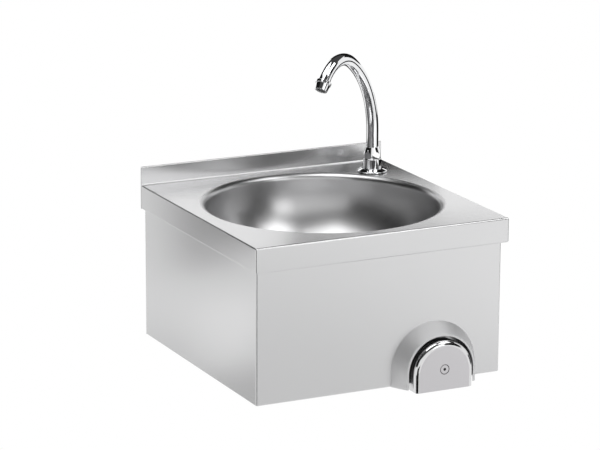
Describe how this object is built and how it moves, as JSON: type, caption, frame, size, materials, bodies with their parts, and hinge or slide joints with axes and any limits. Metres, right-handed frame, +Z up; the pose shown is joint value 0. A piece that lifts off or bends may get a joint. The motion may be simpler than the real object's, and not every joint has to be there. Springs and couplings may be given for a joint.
{
  "type": "wall-hung hand wash sink",
  "caption": "Square wall-hung stainless steel hand wash sink with a round bowl, a swivelling swan-neck spout and a knee-operated push button in a cowl at the front.",
  "frame": {"origin": "centre of the four wall holes, on the plane that lies against the wall", "axes": "+X to the user's right, +Y into the wall, +Z up"},
  "size_m": [0.4, 0.4243, 0.432],
  "materials": {
    "satin_steel": "satin stainless sheet",
    "button_steel": "satin face with a polished edge",
    "tap_chrome": "bright chrome plate",
    "bare_brass": "turned brass",
    "seal_rubber": "black rubber",
    "slip_plastic": "white moulded plastic",
    "insert_plastic": "grey moulded plastic",
    "waste_plastic": "white moulded plastic",
    "hose_braid": "fine steel wire braid"
  },
  "bodies": {
    "cabinet": {"deck": "satin_steel", "bowl": "satin_steel", "cabinet_skirt": "satin_steel", "waste_grid": "satin_steel", "waste_screw": "satin_steel", "waste_top_seal": "seal_rubber", "waste_bottom_seal": "seal_rubber", "waste_body": "waste_plastic", "tap_gasket": "seal_rubber", "tap_rosette": "tap_chrome", "tap_column": "tap_chrome", "gland_nut": "tap_chrome", "gland_washer": "slip_plastic", "tap_clamp_washer": "bare_brass", "tap_backnut": "bare_brass", "button_hood": "satin_steel", "hood_studs": "satin_steel", "hood_nuts": "satin_steel", "valve_body": "bare_brass", "rod_seal": "seal_rubber", "valve_washer": "seal_rubber", "valve_front_nut": "bare_brass", "return_spring": "satin_steel", "inlet_tee": "bare_brass", "tee_seal": "seal_rubber", "check_valve_hot": "bare_brass", "check_valve_cold": "bare_brass", "check_cartridges": "slip_plastic", "inlet_filters": "satin_steel", "outlet_elbow": "bare_brass", "outlet_hose": "hose_braid", "hose_washers": "seal_rubber", "hose_nuts": "tap_chrome", "hose_ferrules": "tap_chrome"},
    "spout": {"spout_tube": "tap_chrome", "spout_foot": "bare_brass", "spout_o_rings": "seal_rubber", "spout_snap_ring": "bare_brass", "aerator_adapter": "tap_chrome", "aerator_housing": "tap_chrome", "aerator_insert": "insert_plastic", "aerator_washer": "seal_rubber"},
    "button": {"knee_button": "button_steel", "button_screw": "button_steel", "push_rod": "satin_steel", "valve_disc": "seal_rubber", "disc_washer": "bare_brass", "disc_nut": "bare_brass"}
  },
  "joints": [
    {"name": "spout_swivel", "type": "hinge", "parent": "cabinet", "child": "spout", "pos_m": [0.15101, -0.06803, 0.13], "axis": [0, 0, 1], "range_deg": [-48, 162]},
    {"name": "button_press", "type": "slide", "parent": "cabinet", "child": "button", "axis": [0, 1, 0], "range_m": [0, 0.01], "stiffness_N_per_m": 1500, "springref_m": -0.008, "deforming": ["return_spring"]}
  ]
}
